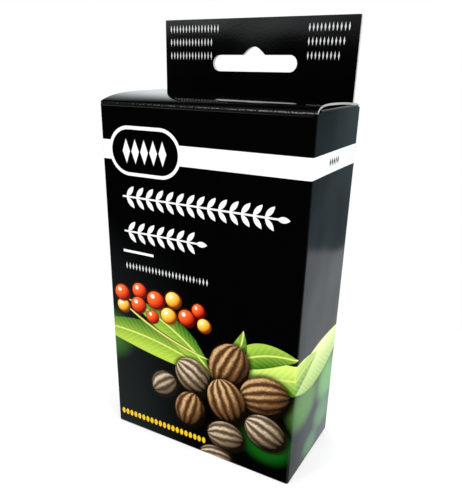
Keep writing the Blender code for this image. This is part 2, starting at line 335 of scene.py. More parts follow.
@dataclass(frozen=True)
class Sprigs:
    """Two white sprigs, each a straight stem with a pair of leaves at every step and one at its tip."""

    start: float = 9.2
    steps: tuple[int, int] = (14, 7)
    middles: tuple[float, float] = (94.2, 82.0)
    pitch: float = 4.0
    stem: float = 0.3
    leaf: tuple[float, float] = (4.9, 0.92)
    tip: tuple[float, float] = (4.4, 1.0)
    tilt: float = 50.0
    reach: float = 5.5

    def lay(self, graph: Graph, around: Value, up: Value, below: Any) -> Value:
        """Prints the sprigs.

        Args:
            graph: the material's node tree.
            around: place round the carton.
            up: place up the carton.
            below: the colour that it is printed on.

        Returns:
            The colour with the sprigs on it.
        """
        upper = graph.math("GREATER_THAN", up, sum(self.middles) / 2)
        middle = self.middles[1] + upper * (self.middles[0] - self.middles[1])
        run = around - self.start
        left = run - (self.steps[1] + upper * (self.steps[0] - self.steps[1])) * self.pitch
        height = abs(up - middle)
        step = graph.math("FRACT", run / self.pitch) * self.pitch - 0.15
        cosine, sine = math.cos(math.radians(self.tilt)), math.sin(math.radians(self.tilt))
        length, width = self.leaf
        p = (step * cosine + height * sine) / length
        q = abs(height * cosine - step * sine) / width
        pair = graph.ramp(p * (1 - p) * 4 - q, -0.02, 0.14)
        pair = pair * graph.ramp(run, 0.0, 0.05) * graph.ramp(left, 0.05, 0.0)
        t = left / self.tip[0]
        last = graph.ramp(t * (1 - t) * 4 - height / self.tip[1], -0.02, 0.14)
        stem = graph.ramp(height, self.stem + 0.07, self.stem - 0.07)
        stem = stem * graph.ramp(run, -1.6, -1.4) * graph.ramp(left, 0.8, 0.6)
        best = graph.math("MAXIMUM", graph.math("MAXIMUM", pair, last), stem)
        near = graph.ramp(height, self.reach + 0.1, self.reach - 0.1)
        return graph.mix(best * near, below, WHITE_INK)


@dataclass(frozen=True)
class Glow:
    """A soft patch of colour in the picture, out of focus."""

    centre: tuple[float, float]
    spread: tuple[float, float]
    ink: Colour
    strength: float = 1.0

    def lay(self, graph: Graph, around: Value, up: Value, below: Any) -> Value:
        """Prints the patch.

        Args:
            graph: the material's node tree.
            around: place round the carton.
            up: place up the carton.
            below: the colour that it is printed on.

        Returns:
            The colour with the patch on it.
        """
        aside = (around - self.centre[0]) / self.spread[0]
        above = (up - self.centre[1]) / self.spread[1]
        reach = aside * aside + above * above
        return graph.mix(graph.ramp(reach, 1.0, 0.0) * self.strength, below, self.ink)


@dataclass(frozen=True)
class Leaf:
    """A slender leaf in the picture, from its root to its tip."""

    root: tuple[float, float]
    length: float
    width: float
    angle: float
    bend: float = 3.0
    dark: Colour = tint(0.02, 0.13, 0.008)
    bright: Colour = tint(0.33, 0.52, 0.045)
    soft: float = 0.2
    strength: float = 1.0

    def lay(self, graph: Graph, around: Value, up: Value, below: Any) -> Value:
        """Prints the leaf.

        Args:
            graph: the material's node tree.
            around: place round the carton.
            up: place up the carton.
            below: the colour that it is printed on.

        Returns:
            The colour with the leaf on it.
        """
        angle = math.radians(self.angle)
        dx, dz = around - self.root[0], up - self.root[1]
        along = (dx * math.cos(angle) + dz * math.sin(angle)) / self.length
        room = along * (1 - along) * 4
        across = dz * math.cos(angle) - dx * math.sin(angle) - room * self.bend
        half = room * graph.math("MAXIMUM", 1.12 - along * 0.3, 0.1) * self.width
        away = abs(across)
        mask = graph.ramp(half - away, 0.0, self.soft) * self.strength
        veins = graph.math("SINE", (along * self.length - away * 1.1) * 2.6)
        light = graph.ramp(across / self.width + veins * 0.12, -0.9, 0.7, smooth=False)
        colour = graph.mix(light, self.dark, self.bright)
        rib = graph.ramp(away, 0.5, 0.16)
        colour = graph.mix(rib, colour, LEAF_RIB)
        return graph.mix(mask, below, colour)


@dataclass(frozen=True)
class Fruit:
    """A smooth berry or a ridged nut in the picture, with the shadow that it lies in."""

    centre: tuple[float, float]
    size: tuple[float, float]
    angle: float
    palette: tuple[Colour, Colour, Colour]
    ridges: float = 0.0
    shine: float = 0.0

    def lay(
            self, graph: Graph, around: Value, up: Value, below: Any,
            grain: tuple[Value, Value]) -> Value:
        """Prints the fruit.

        Args:
            graph: the material's node tree.
            around: place round the carton.
            up: place up the carton.
            below: the colour that it is printed on.
            grain: coarse and fine noise on the print.

        Returns:
            The colour with the fruit on it.
        """
        angle = math.radians(self.angle)
        dx, dz = around - self.centre[0], up - self.centre[1]
        px = (dx * math.cos(angle) + dz * math.sin(angle)) / self.size[0]
        pz = (dz * math.cos(angle) - dx * math.sin(angle)) / self.size[1]
        reach = px * px + pz * pz
        below = graph.mix(graph.ramp(reach, 1.5, 0.95) * 0.85, below, self.palette[0])
        dome = graph.math("SQRT", graph.math("MAXIMUM", 1 - reach, 0.0))
        light = dome * 0.5 + (dz * 0.42 - dx * 0.36) / self.size[0] + 0.14
        edge = reach
        if self.ridges:
            coarse, fine = grain
            lens = graph.math("SQRT", graph.math("MAXIMUM", 1 - px * px, 0.06))
            ridge = graph.math("SINE", pz / lens * self.ridges + coarse * 3.2) * 0.5 + 0.5
            light = light * (ridge * 0.85 + 0.22) * (fine * 1.5 + 0.12)
            edge = reach + (0.5 - ridge) * 0.07 + (fine - 0.5) * 0.12
        colour = graph.stops(light, *zip((0.02, 0.36, 0.85), self.palette))
        if self.shine:
            hx, hz = dx / self.size[0] + 0.34, dz / self.size[0] - 0.36
            colour = graph.mix(graph.ramp(hx * hx + hz * hz, 0.09, 0.02) * self.shine, colour, WHITE_INK)
        return graph.mix(graph.ramp(edge, 1.0, 0.92), below, colour)


@dataclass(frozen=True)
class Heap:
    """Fruit heaped in the picture, the rear ones first."""

    fruit: tuple[Fruit, ...]

    def lay(self, graph: Graph, around: Value, up: Value, below: Any) -> Value:
        """Prints the heap.

        Args:
            graph: the material's node tree.
            around: place round the carton.
            up: place up the carton.
            below: the colour that it is printed on.

        Returns:
            The colour with the heap on it.
        """
        place = graph.join(around, up)
        grain = graph.noise(place, 0.3, 3.0), graph.noise(place, 1.4, 4.0, 0.7)
        for fruit in self.fruit:
            below = fruit.lay(graph, around, up, below, grain)
        return below


NUT = (tint(0.004, 0.002, 0.001), tint(0.16, 0.072, 0.025), tint(0.72, 0.46, 0.23))
PALE_NUT = (tint(0.006, 0.004, 0.002), tint(0.19, 0.13, 0.075), tint(0.72, 0.61, 0.45))
RED_BERRY = (tint(0.10, 0.002, 0.001), tint(0.55, 0.025, 0.004), tint(0.95, 0.15, 0.02))
AMBER_BERRY = (tint(0.16, 0.03, 0.002), tint(0.80, 0.30, 0.012), tint(1.0, 0.70, 0.14))
TWIG = (tint(0.05, 0.02, 0.008), tint(0.30, 0.17, 0.07))

NUTS = Heap((
    Fruit((46, 0.4), (7.0, 4.6), 6, PALE_NUT, 12),
    Fruit((50.5, 40), (9.4, 7.9), 65, NUT, 15),
    Fruit((36, 31.5), (8.2, 6.9), -32, PALE_NUT, 13),
    Fruit((64.5, 32.5), (9.6, 7.8), 18, NUT, 15),
    Fruit((23, 24.5), (6.2, 5.4), 38, PALE_NUT, 11),
    Fruit((50, 25.5), (9.2, 7.8), 112, NUT, 14),
    Fruit((34.5, 17), (7.8, 6.5), 74, NUT, 12),
    Fruit((65.5, 18), (8.2, 6.8), -22, PALE_NUT, 12),
    Fruit((50, 10.8), (7.7, 6.2), 8, PALE_NUT, 12),
))
BERRIES = Heap((
    Fruit((5.5, 53), (2.8, 2.7), 0, AMBER_BERRY, shine=0.9),
    Fruit((13, 60.2), (3.1, 3.0), 0, RED_BERRY, shine=0.9),
    Fruit((27.5, 59.8), (3.2, 3.0), 0, AMBER_BERRY, shine=0.9),
    Fruit((38, 58), (2.8, 2.7), 0, RED_BERRY, shine=0.9),
    Fruit((5.2, 58), (3.3, 3.2), 0, RED_BERRY, shine=0.9),
    Fruit((20, 58), (3.7, 3.5), 0, RED_BERRY, shine=0.9),
    Fruit((12.4, 54.5), (3.3, 3.2), 0, RED_BERRY, shine=0.9),
    Fruit((33, 54.2), (3.4, 3.2), 0, RED_BERRY, shine=0.9),
    Fruit((25.5, 53.2), (3.3, 3.1), 0, AMBER_BERRY, shine=0.9),
    Fruit((40.5, 53), (2.7, 2.6), 0, AMBER_BERRY, shine=0.9),
    Fruit((18.5, 51.2), (2.7, 2.6), 0, RED_BERRY, shine=0.9),
))
BACKGROUND = (
    Glow((66, 14), (12, 10), tint(0.004, 0.10, 0.006), 0.9),
    Glow((-8, 40), (20, 14), tint(0.06, 0.20, 0.02), 0.7),
    Glow((86, 28), (15, 12), tint(0.09, 0.24, 0.045), 0.95),
    Glow((109, 27), (13, 12), tint(0.14, 0.38, 0.10), 0.95),
    Glow((106, 13), (11, 8), tint(0.07, 0.22, 0.08), 0.9),
    Glow((95, 5), (9, 6), tint(0.06, 0.20, 0.08), 0.8),
    Leaf((68, 41), 58, 8.2, 6, -4.6, tint(0.30, 0.50, 0.08), tint(0.80, 0.92, 0.42), 0.8),
)
FOREGROUND = (
    Leaf((50, 36), 46, 6.0, 10, 1.5, tint(0.07, 0.26, 0.01), tint(0.62, 0.80, 0.16)),
    Leaf((46, 34), 60, 6.6, 172, -4, tint(0.03, 0.15, 0.008), tint(0.42, 0.60, 0.06)),
    Leaf((50, 40), 28, 4.8, 20, 3, tint(0.03, 0.13, 0.006), tint(0.34, 0.54, 0.06)),
    Leaf((48, 38), 19, 3.4, 66, -2, tint(0.02, 0.10, 0.006), tint(0.26, 0.44, 0.05)),
    Leaf((44, 35), 42, 4.8, 150, -3, tint(0.02, 0.12, 0.006), tint(0.30, 0.50, 0.05)),
    Leaf((46, 40), 46, 0.9, 160, 3, *TWIG),
    BERRIES,
    NUTS,
)
WRAP = (
    *BACKGROUND,
    *FOREGROUND,
    Sprigs(),
    Bar(-60, 200, 106.3, 112.6),
    Bar(3.2, 31.6, 101.4, 117.4, WHITE_INK, True),
    Bar(4.3, 30.5, 102.5, 116.3, BLACK_INK, True),
    Row(8.4, 26.4, 105.4, 113.4, 3.6, 0.86),
    Row(88.6, 97.6, 108.1, 110.9, 1.8, 0.8, ink=BLACK_INK),
    Bar(6.8, 19.7, 74.2, 75.1),
    Row(7.3, 42.3, 67.8, 70.5, 1.4, 0.52, ink=PALE_INK),
    Row(1.6, 41.6, 4.2, 6.9, 2.0, 0.78, Mark.OVAL, YELLOW_INK),
)
TAB = (
    Row(1.8, 22.6, 146.0, 148.8, 1.3, 0.45, ink=PALE_INK),
    Row(1.8, 20.0, 141.7, 144.5, 1.3, 0.45, ink=PALE_INK),
    Row(1.8, 20.0, 137.3, 140.1, 1.3, 0.45, ink=PALE_INK),
    Row(55.0, 69.3, 145.8, 148.5, 1.3, 0.45, ink=PALE_INK),
    Row(55.0, 68.0, 141.7, 144.4, 1.3, 0.45, ink=PALE_INK),
    Row(55.0, 66.7, 137.5, 140.2, 1.3, 0.45, ink=PALE_INK),
)


@dataclass(frozen=True)
class PrintedFace:
    """Gloss-varnished print on coated board, worn to its white core along the lid's fold."""

    name: str
    design: tuple = ()
    roughness: float = 0.085
    fold: tuple[float, float] = (-19.1192, 124.1192)

    def make(self) -> bpy.types.Material:
        """Builds the material.

        Returns:
            The print's material.
        """
        material = bpy.data.materials.new(self.name)
        graph = Graph(material)
        colour: Any = BLACK_INK
        if self.design:
            around, up = graph.unrolled()
            for item in self.design:
                colour = item.lay(graph, around, up, colour)
        place = graph.place()
        x, y, z = graph.split(place)
        dy, dz = y - self.fold[0], z - self.fold[1]
        away = graph.math("SQRT", dy * dy + dz * dz)
        flecks = graph.noise(place, 1.9, 5.0, 0.66)
        worn = graph.ramp(x, -40.0, 28.0, smooth=False) * 0.16
        line = graph.ramp(away, 0.52, 0.04) * 0.30 + flecks + worn
        crack = graph.ramp(line, 0.84, 1.0) * graph.ramp(away, 0.62, 0.35)
        colour = graph.mix(crack, colour, WORN_CORE)
        smear = graph.noise(place, 0.045, 3.0)
        rough = smear * 0.05 + (self.roughness - 0.025) + crack * 0.5
        swell = graph.bump(graph.noise(place, 0.035, 1.0), 0.5, 0.0006)
        peel = graph.bump(graph.noise(place, 1.1, 2.0), 0.06, 0.00008, swell)
        graph.surface(Base_Color=colour, Roughness=rough, Normal=peel, IOR=1.5)
        return material


@dataclass(frozen=True)
class BareBoard:
    """Unprinted board: matt, off-white, with faint fibres."""

    name: str
    light: Colour
    dark: Colour
    fibre: float = 2.4

    def make(self) -> bpy.types.Material:
        """Builds the material.

        Returns:
            The board's material.
        """
        material = bpy.data.materials.new(self.name)
        graph = Graph(material)
        place = graph.place()
        stretch = {"operation": "MULTIPLY"}
        long = graph.take(graph.node("ShaderNodeVectorMath", stretch, {0: place, 1: (1.0, 1.0, 0.35)}))
        fibres = graph.noise(long, self.fibre, 5.0, 0.65)
        cloud = graph.noise(place, 0.08, 2.0)
        tone = graph.ramp(fibres * 0.7 + cloud * 0.3, 0.34, 0.62)
        normal = graph.bump(fibres, 0.25, 0.00006)
        rough = fibres * 0.15 + 0.74
        graph.surface(Base_Color=graph.mix(tone, self.dark, self.light), Roughness=rough, Normal=normal)
        return material


@dataclass(frozen=True)
class ConeWood:
    """Dry cone wood, weathered grey-brown on its valves; the near-black copy in the seed cavities between
    them is painted shade.
    """

    name: str
    stops: tuple[tuple[float, Colour], ...]
    roughness: float = 0.72

    def make(self) -> bpy.types.Material:
        """Builds the material.

        Returns:
            The wood's material.
        """
        material = bpy.data.materials.new(self.name)
        graph = Graph(material)
        place = graph.place()
        patches = graph.noise(place, 0.32, 3.0)
        grain = graph.noise(place, 2.6, 5.0, 0.7)
        tone = patches * 0.55 + grain * 0.45
        normal = graph.bump(grain, 0.6, 0.00025)
        rough = grain * 0.2 + (self.roughness - 0.1)
        graph.surface(Base_Color=graph.stops(tone, *self.stops), Roughness=rough, Normal=normal)
        return material


@dataclass
class Finishes:
    """Every finish of the carton, made once."""

    wrap: bpy.types.Material = field(init=False)
    tab: bpy.types.Material = field(init=False)
    plain: bpy.types.Material = field(init=False)
    inside: bpy.types.Material = field(init=False)
    edge: bpy.types.Material = field(init=False)
    lid_rim_painted_shade: bpy.types.Material = field(init=False)
    wood: bpy.types.Material = field(init=False)
    gap_shade: bpy.types.Material = field(init=False)

    def build(self) -> None:
        """Makes the materials."""
        self.wrap = PrintedFace("print_wrap", WRAP).make()
        self.tab = PrintedFace("print_tab", TAB).make()
        self.plain = PrintedFace("print_black").make()
        self.inside = BareBoard("board_inside", tint(0.68, 0.66, 0.61), tint(0.58, 0.55, 0.50)).make()
        self.edge = BareBoard("board_edge", tint(0.56, 0.56, 0.54), tint(0.44, 0.43, 0.41), 4.0).make()
        # The lid's cut edge is the same board as the other cut edges, made dimmer: painted shade for the
        # shadow along the lid's rim.
        shaded_greys = (tint(0.40, 0.40, 0.38), tint(0.26, 0.26, 0.25))
        self.lid_rim_painted_shade = BareBoard("board_lid_edge", *shaded_greys, 4.0).make()
        browns = (
            (0.30, tint(0.045, 0.022, 0.010)),
            (0.48, tint(0.16, 0.088, 0.042)),
            (0.66, tint(0.36, 0.25, 0.15)),
        )
        self.wood = ConeWood("cone_valves", browns).make()
        # The near-black finish for the recesses between the valves is painted shade, not the wood's own
        # colour.
        gap_shades = ((0.30, tint(0.010, 0.005, 0.003)), (0.70, tint(0.055, 0.028, 0.014)))
        self.gap_shade = ConeWood("cone_pockets", gap_shades, 0.85).make()

    def board(self, face: bpy.types.Material) -> list[bpy.types.Material]:
        """The three slots of a board piece: printed face, bare inside and cut edge."""
        return [face, self.inside, self.edge]


class Part(Enum):
    """What a pick takes."""

    VERT = 1
    EDGE = 2
    FACE = 3


class Blank:
    """A piece while Blender's operators shape it, in millimetres, with edit mode open."""

    def __init__(self, name: str) -> None:
        """Takes the primitive that was just added and opens it.

        Args:
            name: the piece's name.
        """
        self.piece = bpy.context.object
        self.piece.name = self.piece.data.name = name
        bpy.ops.object.transform_apply(location=True, rotation=True, scale=True)
        bpy.ops.object.mode_set(mode="EDIT")

    @classmethod
    def block(cls, name: str, low: Triple, high: Triple) -> "Blank":
        """Starts from a block between two corners.

        Args:
            name: the piece's name.
            low: the lowest corner.
            high: the highest corner.

        Returns:
            The open piece.
        """
        middle = [(a + b) / 2 for a, b in zip(low, high)]
        span = [b - a for a, b in zip(low, high)]
        bpy.ops.object.select_all(action="DESELECT")
        bpy.ops.mesh.primitive_cube_add(size=1, location=middle, scale=span)
        return cls(name)

    @classmethod
    def sheet(cls, name: str, columns: int, rows: int) -> "Blank":
        """Starts from a flat sheet, 2 by 2 about the origin.

        Args:
            name: the piece's name.
            columns: faces from left to right.
            rows: faces from front to back.

        Returns:
            The open piece.
        """
        bpy.ops.object.select_all(action="DESELECT")
        bpy.ops.mesh.primitive_grid_add(x_subdivisions=columns, y_subdivisions=rows, size=2)
        return cls(name)

    @classmethod
    def ball(cls, name: str, sides: int, rings: int) -> "Blank":
        """Starts from a ball of radius 1 about the origin.

        Args:
            name: the piece's name.
            sides: faces round it.
            rings: faces from pole to pole.

        Returns:
            The open piece.
        """
        bpy.ops.object.select_all(action="DESELECT")
        bpy.ops.mesh.primitive_uv_sphere_add(segments=sides, ring_count=rings, radius=1)
        return cls(name)

    def pick(self, part: Part, test: Callable[..., bool]) -> "Blank":
        """Selects what passes a test and nothing else.

        Args:
            part: whether points, edges or faces are picked.
            test: takes a point, an edge's two ends, or a face's middle and normal.

        Returns:
            This blank, for the next step.
        """
        bpy.ops.mesh.select_all(action="DESELECT")
        bpy.ops.mesh.select_mode(type=part.name)
        mesh = bmesh.from_edit_mesh(self.piece.data)
        if part is Part.FACE:
            chosen = [f for f in mesh.faces if test(f.calc_center_median(), f.normal)]
        elif part is Part.EDGE:
            chosen = [e for e in mesh.edges if test(e.verts[0].co, e.verts[1].co)]
        else:
            chosen = [v for v in mesh.verts if test(v.co)]
        for item in chosen:
            item.select_set(True)
        mesh.select_flush_mode()
        bmesh.update_edit_mesh(self.piece.data)
        return self

    def extrude(self, move: Triple) -> "Blank":
        """Extrudes the selection by a move."""
        bpy.ops.mesh.extrude_region_move(TRANSFORM_OT_translate={"value": move})
        return self

    def spin(self, angle: float, steps: int, centre: Triple, axis: Triple) -> "Blank":
        """Carries the selected edges round an axis, by the right-hand rule.

        Args:
            angle: the turn in degrees.
            steps: faces along the arc.
            centre: a point on the axis.
            axis: the axis's direction.

        Returns:
            This blank, for the next step.
        """
        bpy.ops.mesh.spin(steps=steps, angle=-math.radians(angle), center=centre, axis=axis)
        return self

    def bevel(self, width: float, steps: int, points: bool = False) -> "Blank":
        """Rounds the selected edges or points.

        Args:
            width: the rounding's radius.
            steps: faces round it.
            points: whether points are rounded, not edges.

        Returns:
            This blank, for the next step.
        """
        kind = "VERTICES" if points else "EDGES"
        bpy.ops.mesh.bevel(offset=width, segments=steps, affect=kind, clamp_overlap=True)
        return self

    def slice(self, axis: int, places: Sequence[float]) -> "Blank":
        """Cuts new edge lines right round the piece.

        Args:
            axis: 0, 1 or 2 for planes across x, y or z.
            places: where the planes lie.

        Returns:
            This blank, for the next step.
        """
        normal = [float(axis == i) for i in range(3)]
        for place in places:
            bpy.ops.mesh.select_all(action="SELECT")
            bpy.ops.mesh.bisect(plane_co=[place * n for n in normal], plane_no=normal)
        return self

    def shift(self, rule: Callable[[Vector], Sequence[float]]) -> "Blank":
        """Moves every point.

        Args:
            rule: gives a point's new place from its old one.

        Returns:
            This blank, for the next step.
        """
        mesh = bmesh.from_edit_mesh(self.piece.data)
        for vertex in mesh.verts:
            vertex.co = rule(vertex.co.copy())
        mesh.normal_update()
        bmesh.update_edit_mesh(self.piece.data)
        return self

    def drop(self) -> "Blank":
        """Deletes the selected faces."""
        bpy.ops.mesh.delete(type="FACE")
        return self

    def inset(self, width: float, depth: float) -> "Blank":
        """Insets each selected face by itself and raises it by a depth."""
        bpy.ops.mesh.inset(thickness=width, depth=depth, use_individual=True)
        return self

    def close(self) -> "Blank":
        """Merges points that coincide, and leaves edit mode.

        Returns:
            This blank, for the next step.
        """
        bpy.ops.mesh.select_all(action="SELECT")
        bpy.ops.mesh.remove_doubles(threshold=1e-4)
        bpy.ops.mesh.select_all(action="DESELECT")
        bpy.ops.object.mode_set(mode="OBJECT")
        return self

    def dress(self, materials: Sequence[bpy.types.Material]) -> "Blank":
        """Gives the piece its material slots.

        Args:
            materials: the slots' materials, in order.

        Returns:
            This blank, for the next step.
        """
        for material in materials:
            self.piece.data.materials.append(material)
        return self

    def apply(self, kind: str, **settings: Any) -> "Blank":
        """Adds a modifier and applies it.

        Args:
            kind: the modifier's type.
            settings: its settings.

        Returns:
            This blank, for the next step.
        """
        modifier = self.piece.modifiers.new(kind.lower(), kind)
        for key, setting in settings.items():
            setattr(modifier, key, setting)
        bpy.context.view_layer.objects.active = self.piece
        bpy.ops.object.modifier_apply(modifier=modifier.name)
        return self

    def thicken(self, board: float) -> "Blank":
        """Gives a printed face its board, inwards, with a bare inside and cut edges."""
        return self.apply(
            "SOLIDIFY", thickness=board, offset=-1, use_even_offset=True, use_rim=True,
            material_offset=1, material_offset_rim=2)

    def paint(self, rule: Callable[[Vector, Vector], int]) -> "Blank":
        """Chooses each face's slot.

        Args:
            rule: gives the slot from a face's middle and normal.

        Returns:
            This blank, for the next step.
        """
        for face in self.piece.data.polygons:
            face.material_index = rule(face.center, face.normal)
        return self

    def unroll(self, rule: Callable[[Vector, Vector, Vector], tuple[float, float]]) -> "Blank":
        """Writes the map of the print.

        Args:
            rule: gives the place on the print from a point and its face's middle and normal.

        Returns:
            This blank, for the next step.
        """
        mesh = self.piece.data
        while mesh.uv_layers:
            mesh.uv_layers.remove(mesh.uv_layers[0])
        layer = mesh.uv_layers.new(name="print")
        for face in mesh.polygons:
            for corner in face.loop_indices:
                point = mesh.vertices[mesh.loops[corner].vertex_index].co
                layer.data[corner].uv = rule(point, face.center, face.normal)
        return self

    def finish(self, body: str, slot: str, nodes: Sequence[str], smooth: float = 32) -> bpy.types.Object:
        """Brings the piece to metres and hands it over to its body.

        Args:
            body: the CAD body that it rides on.
            slot: the record's material slot; not used.
            nodes: the CAD nodes that it stands for.
            smooth: the angle in degrees up to which edges are shaded smooth.

        Returns:
            The finished piece.
        """
        piece = self.piece
        piece.data.transform(Matrix.Scale(MM, 4))
        bpy.ops.object.select_all(action="DESELECT")
        piece.select_set(True)
        bpy.context.view_layer.objects.active = piece
        bpy.ops.object.shade_smooth_by_angle(angle=math.radians(smooth))
        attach(piece, body)
        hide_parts(*nodes)
        log.info("%s: %d faces on %s", piece.name, len(piece.data.polygons), body)
        return piece


@dataclass
class HangSlot:
    """The euro slot's cutter: a bar with round ends and a bell-shaped crown."""

    middle: float = -0.65
    half: float = 15.95
    low: float = 133.7
    high: float = 139.0
    rise: float = 2.6
    crown_half: float = 4.25
    crown_sharpness: float = 1.25
    crown_steps: int = 22

    def build(self, materials: Sequence[bpy.types.Material]) -> bpy.types.Object:
        """Makes the cutter.

        Args:
            materials: the board's slots, so that the cut is bare like its other edges.

        Returns:
            The cutter, which is deleted after use.
        """
        low = (self.middle - self.half, 17.0, self.low)
        cutter = Blank.block("slot_cutter", low, (self.middle + self.half, 20.6, self.high))
        cutter.pick(Part.EDGE, lambda a, b: abs(a.x - b.x) < 0.01 and abs(a.z - b.z) < 0.01)
        cutter.bevel((self.high - self.low) / 2 - 0.01, 9)
        steps = self.crown_steps
        cutter.slice(0, [self.middle + self.crown_half * (2 * i / steps - 1) for i in range(steps + 1)])
        cutter.shift(self._raise_crown)
        cutter.close().dress(materials).paint(lambda middle, normal: 2)
        return cutter.piece

    def _raise_crown(self, point: Vector) -> Sequence[float]:
        """Lifts the bar's upper edge into the crown.

        Args:
            point: the point's old place.

        Returns:
            Its new place.
        """
        reach = abs(point.x - self.middle) / self.crown_half
        if point.z < self.high - 0.01 or reach > 1:
            return point
        return point.x, point.y, point.z + self.rise * max(0.0, 1 - reach ** 2) ** self.crown_sharpness


@dataclass
class Sleeve:
    """The carton's four walls as one folded sheet, with the rear ply of the hang tab."""

    half_width: float = 37.5
    half_depth: float = 19.5
    board: float = 0.6
    fold: float = 0.9
    bottom_fold: float = 0.65
    shoulder: float = 123.0
    corner_top: float = 123.85
    side_fold_low: float = 124.2
    side_fold_span: tuple[float, float] = (-16.0, 17.0)
    side_fold_falls: tuple[float, float] = (0.6, 1.0)
    top_fold: tuple[float, float, float] = (-18.2, 123.2, 1.3)
    tab_low: float = 124.8
    tab_start: float = 125.0
    tab_steps: int = 6
    tab_top: float = 150.5
    tab_sides: tuple[float, float] = (-36.8, 35.3)
    tab_corner: float = 0.4
    bow: float = 0.28
    front_share: float = 0.7

    def build(self, finishes: Finishes, slot: HangSlot) -> None:
        """Models the walls, cuts the slot and dresses them.

        Args:
            finishes: the carton's materials.
            slot: the hang slot.
        """
        w, d = self.half_width, self.half_depth
        sheet = Blank.block("carton_sleeve", (-w, -d, 0), (w, d, self.shoulder))
        sheet.pick(Part.EDGE, lambda a, b: abs(a.z - b.z) > 1).bevel(self.fold, 6)
        sheet.pick(Part.EDGE, lambda a, b: max(a.z, b.z) < 0.01).bevel(self.bottom_fold, 5)
        sheet.pick(Part.FACE, lambda middle, normal: abs(normal.z) > 0.99).drop()
        sheet.slice(0, [-30 + 6 * i for i in range(11)])
        sheet.slice(1, [-18.2, -17.4, -16.7, self.side_fold_span[0], -12, -8, -4, 0, 4, 8, 12])
        sheet.slice(1, [self.side_fold_span[1], 17.5, 18.0, 18.4])
        sheet.slice(2, [2, 6, 12, 20, 30, 40, 50, 60, 70, 80, 90, 100, 110, 117])
        sheet.shift(self._bow)
        self._fold_front(sheet)
        self._fold_sides(sheet)
        self._raise_corners(sheet)
        self._raise_tab(sheet)
        materials = finishes.board(finishes.wrap)
        sheet.close().dress(materials).thicken(self.board)
        cutter = slot.build(materials)
        sheet.apply("BOOLEAN", object=cutter, operation="DIFFERENCE", solver="EXACT")
        bpy.data.objects.remove(cutter, do_unlink=True)
        sheet.paint(self._slot_of).unroll(self._print_place)
        nodes = ("front_panel", "left_panel", "right_panel", "back_outer_panel")
        sheet.finish("carton", "board_printed", nodes)

    def _bow(self, point: Vector) -> Sequence[float]:
        """Lets each wall sink in a little between its folds.

        Args:
            point: the point's old place.

        Returns:
            Its new place.
        """
        if point.z > self.shoulder - 0.01 or point.z < self.fold:
            return point
        lift = math.sin(math.pi * point.z / self.shoulder) ** 0.8
        x, y, z = point
        if abs(x) > self.half_width - 0.01:
            reach = math.cos(math.pi / 2 * y / (self.half_depth - self.fold))
            x -= math.copysign(self.bow * lift * max(0.0, reach), x)
        elif y < -self.half_depth + 0.01:
            reach = math.cos(math.pi / 2 * x / (self.half_width - self.fold))
            y += self.bow * self.front_share * lift * max(0.0, reach)
        return x, y, z

    def _fold_front(self, sheet: Blank) -> None:
        """Carries the front wall's top halfway round the lid's fold.

        Args:
            sheet: the carton's open sheet.
        """
        y, z, _ = self.top_fold
        front = -self.half_depth + 0.01
        level = self.shoulder - 0.01
        sheet.pick(Part.EDGE, lambda a, b: min(a.z, b.z) > level and max(a.y, b.y) < front)
        sheet.extrude((0, 0, z - self.shoulder)).spin(45, 5, (0, y, z), (-1, 0, 0))

    def _fold_sides(self, sheet: Blank) -> None:
        """Rounds the side walls' tops, down at both ends and in along the dust flaps' folds.

        Args:
            sheet: the carton's open sheet.
        """
        level = self.shoulder - 0.01
        near = self.half_width - 0.01
        sheet.pick(Part.EDGE, lambda a, b: min(a.z, b.z) > level and min(abs(a.x), abs(b.x)) > near)
        sheet.extrude((0, 0, self.side_fold_low - self.shoulder))
        sheet.shift(self._round_shoulder)
        top = self.side_fold_low - 0.01
        for side in (-1, 1):
            sheet.pick(Part.EDGE, lambda a, b: min(a.z, b.z) > top and min(side * a.x, side * b.x) > near)
            centre = (side * (self.half_width - self.fold), 0, self.side_fold_low)
            sheet.spin(45, 4, centre, (0, -side, 0))

    def _round_shoulder(self, point: Vector) -> Sequence[float]:
        """Lowers the side walls' tops towards the upright folds.

        Args:
            point: the point's old place.

        Returns:
            Its new place.
        """
        x, y, z = point
        if abs(x) < self.half_width - 0.01 or z < self.side_fold_low - 0.01:
            return point
        low, high = self.side_fold_span
        past = max(low - y, y - high, 0.0)
        room = self.half_depth - self.fold - (abs(low) if y < 0 else high)
        fall = 1 - math.sqrt(max(0.0, 1 - min(1.0, past / room) ** 2))
        return x, y, z - fall * self.side_fold_falls[int(y > 0)]

    def _raise_corners(self, sheet: Blank) -> None:
        """Carries the upright folds up to the level of the lid's crease.

        Args:
            sheet: the carton's open sheet.
        """
        level, w, d = self.shoulder - 0.01, self.half_width, self.half_depth
        near_x, near_y = w - self.fold - 0.01, d - self.fold - 0.01
        for side in (-1, 1):
            for front in (-1, 1):
                sheet.pick(Part.EDGE, lambda a, b: all(
                    level < p.z < level + 0.02 and side * p.x > near_x and front * p.y > near_y
                    for p in (a, b)))
                sheet.extrude((0, 0, self.corner_top - self.shoulder))

    def _raise_tab(self, sheet: Blank) -> None:
        """Extrudes the back wall up into the rear ply of the hang tab.

        Args:
            sheet: the carton's open sheet.
        """
        level, back = self.shoulder - 0.01, self.half_depth - 0.01
        sheet.pick(Part.EDGE, lambda a, b: min(a.z, b.z) > level and min(a.y, b.y) > back
                   and max(a.z, b.z) < level + 0.1)
        for top, below in ((self.tab_low, self.shoulder), (self.tab_start, self.tab_low)):
            sheet.extrude((0, 0, top - below))
        for _ in range(self.tab_steps):
            sheet.extrude((0, 0, (self.tab_top - self.tab_start) / self.tab_steps))
        left, right = self.tab_sides
        edge = self.half_width - self.fold - 0.01

        def place(point: Vector) -> Sequence[float]:
            """Brings the tab's two sides to their own widths.

            Args:
                point: the point's old place.

            Returns:
                Its new place.
            """
            if point.z < self.tab_low + 0.1 or abs(point.x) < edge or point.y < back:
                return point
            return (left if point.x < 0 else right), point.y, point.z

